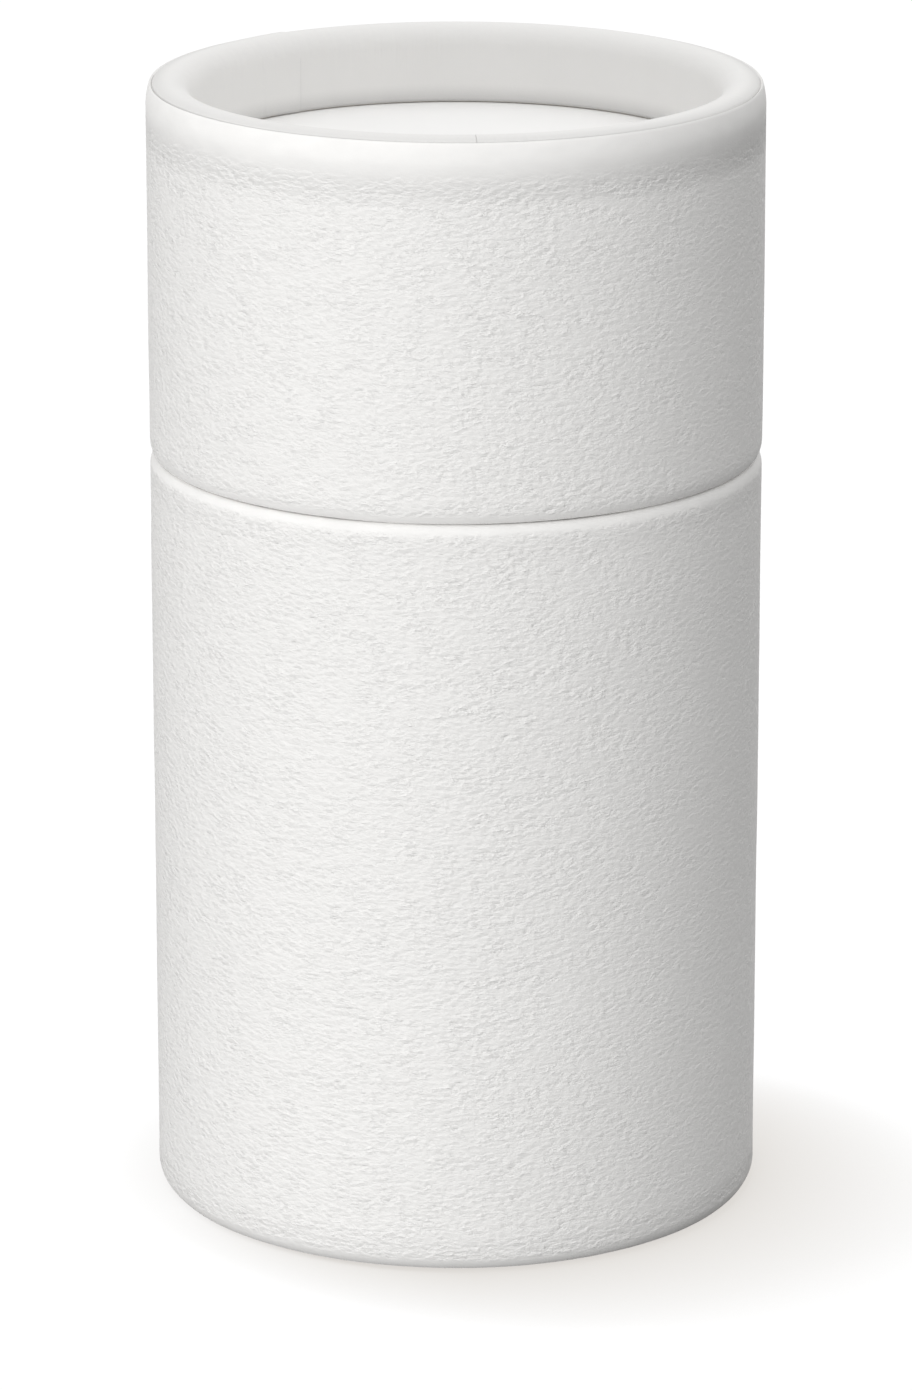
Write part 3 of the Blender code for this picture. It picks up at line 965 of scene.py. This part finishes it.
class CANISTER_OT_stage(bpy.types.Operator):
    """Make the floor, the key lamp, the sky and the camera"""

    bl_idname = "canister.stage"
    bl_label = "Stage"
    bl_options = {"REGISTER", "UNDO"}

    def execute(self, context):
        stage = context.scene.canister_stage
        self.make_floor(stage)
        self.make_key(stage)
        self.make_sky(context.scene, stage)
        self.make_camera(context.scene, stage)
        context.scene.view_settings.view_transform = "Standard"
        return {"FINISHED"}

    def make_floor(self, stage):
        bpy.ops.object.select_all(action="DESELECT")
        place = (0, 0, -stage.floor_drop)
        bpy.ops.mesh.primitive_plane_add(size=stage.floor_size, location=place)
        floor = bpy.context.active_object
        floor.name = "studio_floor"
        bpy.ops.object.transform_apply(location=True, rotation=True, scale=True)
        floor.data.materials.append(self.floor_finish(stage))

    def floor_finish(self, stage):
        """Seen white with the canister's contact shadow painted on, and a dim grey where it throws
        light.
        """
        made = bpy.data.materials.new("white_floor")
        made.use_nodes = True
        tree = made.node_tree
        tree.nodes.clear()
        clear_of_it = self.contact_clearance(tree, stage)
        shade = mix(tree, clear_of_it, stage.contact_tone, (stage.backdrop,) * 3)
        glow = node(tree, "ShaderNodeEmission", {"Color": shade, "Strength": 1.0}).outputs[0]
        lit, thrown = (
            node(tree, "ShaderNodeBsdfDiffuse", {"Color": (grey, grey, grey, 1.0)}).outputs[0]
            for grey in (stage.backdrop_lit, stage.floor_grey)
        )
        seen = node(tree, "ShaderNodeAddShader", {0: glow, 1: lit}).outputs[0]
        white = seen_as_backdrop(tree)
        mixed = node(tree, "ShaderNodeMixShader", {0: white, 1: thrown, 2: seen}).outputs[0]
        below = node(tree, "ShaderNodeNewGeometry").outputs["Backfacing"]
        clear = node(tree, "ShaderNodeBsdfTransparent").outputs[0]
        sided = node(tree, "ShaderNodeMixShader", {0: below, 1: mixed, 2: clear}).outputs[0]
        node(tree, "ShaderNodeOutputMaterial", {"Surface": sided})
        return made

    def contact_clearance(self, tree, stage):
        """1 off the painted contact shadow, less in it. It is widest and darkest towards its bearing.
        """
        place = tree.nodes.new("ShaderNodeTexCoord").outputs["Object"]
        out = vectors(tree, "NORMALIZE", place)[0]
        furthest = (math.sin(stage.contact_bearing), -math.cos(stage.contact_bearing), 0.0)
        facing = vectors(tree, "DOT_PRODUCT", out, furthest)["Value"]
        ahead = ramp(tree, facing, (-stage.contact_wrap, 1.0))
        reaches = (stage.contact_least * stage.contact_reach, stage.contact_reach)
        spread = ramp(tree, maths(tree, "POWER", ahead, 2.0), (0.0, 1.0), reaches)
        depth = ramp(tree, ahead, (0.0, stage.contact_full), (stage.contact_faint, 1.0))
        occlusion = node(tree, "ShaderNodeAmbientOcclusion", {"Distance": spread}, samples=16)
        # On level ground beside a wall at most half of the sky is hidden
        closed = maths(tree, "SUBTRACT", 1.0, occlusion.outputs["AO"])
        closed = maths(tree, "MULTIPLY", closed, 2.0)
        dark = maths(tree, "MULTIPLY", maths(tree, "POWER", closed, stage.contact_falloff), depth)
        return maths(tree, "SUBTRACT", 1.0, dark)

    def make_key(self, stage):
        place = (
            math.sin(stage.key_azimuth) * stage.key_distance,
            -math.cos(stage.key_azimuth) * stage.key_distance,
            stage.key_level,
        )
        bpy.ops.object.select_all(action="DESELECT")
        turned = (QUARTER, 0, stage.key_azimuth)
        bpy.ops.object.light_add(type="AREA", location=place, rotation=turned)
        lamp = bpy.context.active_object
        lamp.name = "key_lamp"
        lamp.data.name = lamp.name
        lamp.data.shape = "RECTANGLE"
        lamp.data.size = stage.key_width
        lamp.data.size_y = stage.key_height
        lamp.data.energy = stage.key_power

    def make_sky(self, scene, stage):
        sky = bpy.data.worlds.new("studio_sky")
        sky.use_nodes = True
        tree = sky.node_tree
        tree.nodes.clear()
        direction = node(tree, "ShaderNodeTexCoord").outputs["Generated"]
        level = along(tree, direction, "Z")
        light = ramp(tree, level, (0.0, 1.0), (stage.horizon, stage.zenith))
        strength = ramp(tree, seen_as_backdrop(tree), (0.0, 1.0), (light, 1.0))
        glow = node(tree, "ShaderNodeBackground", {"Strength": strength})
        glow.inputs["Color"].default_value = (1.0, 1.0, 1.0, 1.0)
        node(tree, "ShaderNodeOutputWorld", {"Surface": glow.outputs[0]})
        scene.world = sky

    def make_camera(self, scene, stage):
        place = (0, -stage.camera_back, stage.camera_height)
        turned = (QUARTER - stage.camera_tilt, 0, 0)
        bpy.ops.object.select_all(action="DESELECT")
        bpy.ops.object.camera_add(location=place, rotation=turned)
        camera = bpy.context.active_object
        camera.name = "studio_camera"
        camera.data.lens = stage.lens
        scene.camera = camera


class CANISTER_PT_panel(bpy.types.Panel):
    """Lists the canister's pieces and their settings"""

    bl_label = "Paper Canister"
    bl_idname = "CANISTER_PT_panel"
    bl_space_type = "VIEW_3D"
    bl_region_type = "UI"
    bl_category = "Canister"

    def draw(self, context):
        column = self.layout.column(align=True)
        for maker in MAKERS:
            column.operator(maker.bl_idname)
        for settings in SETTINGS:
            box = self.layout.box()
            held = getattr(context.scene, settings)
            for name in held.bl_rna.properties.keys():
                if name not in ("rna_type", "name"):
                    box.prop(held, name)


MAKERS = (
    CANISTER_OT_board_tubes,
    CANISTER_OT_wraps,
    CANISTER_OT_discs,
    CANISTER_OT_neck,
    CANISTER_OT_lining,
    CANISTER_OT_stage,
)
SETTINGS = {
    "canister_sizes": CanisterSizes,
    "canister_finish": CanisterFinish,
    "canister_stage": CanisterStage,
}
CLASSES = (*SETTINGS.values(), *MAKERS, CANISTER_PT_panel)


def register():
    for kind in CLASSES:
        bpy.utils.register_class(kind)
    for name, kind in SETTINGS.items():
        setattr(bpy.types.Scene, name, bpy.props.PointerProperty(type=kind))


def unregister():
    for name in SETTINGS:
        delattr(bpy.types.Scene, name)
    for kind in reversed(CLASSES):
        bpy.utils.unregister_class(kind)


def main():
    register()
    bpy.ops.canister.board_tubes()
    bpy.ops.canister.wraps()
    bpy.ops.canister.discs()
    bpy.ops.canister.neck()
    bpy.ops.canister.lining()
    bpy.ops.canister.stage()


if __name__ == "__main__":
    main()
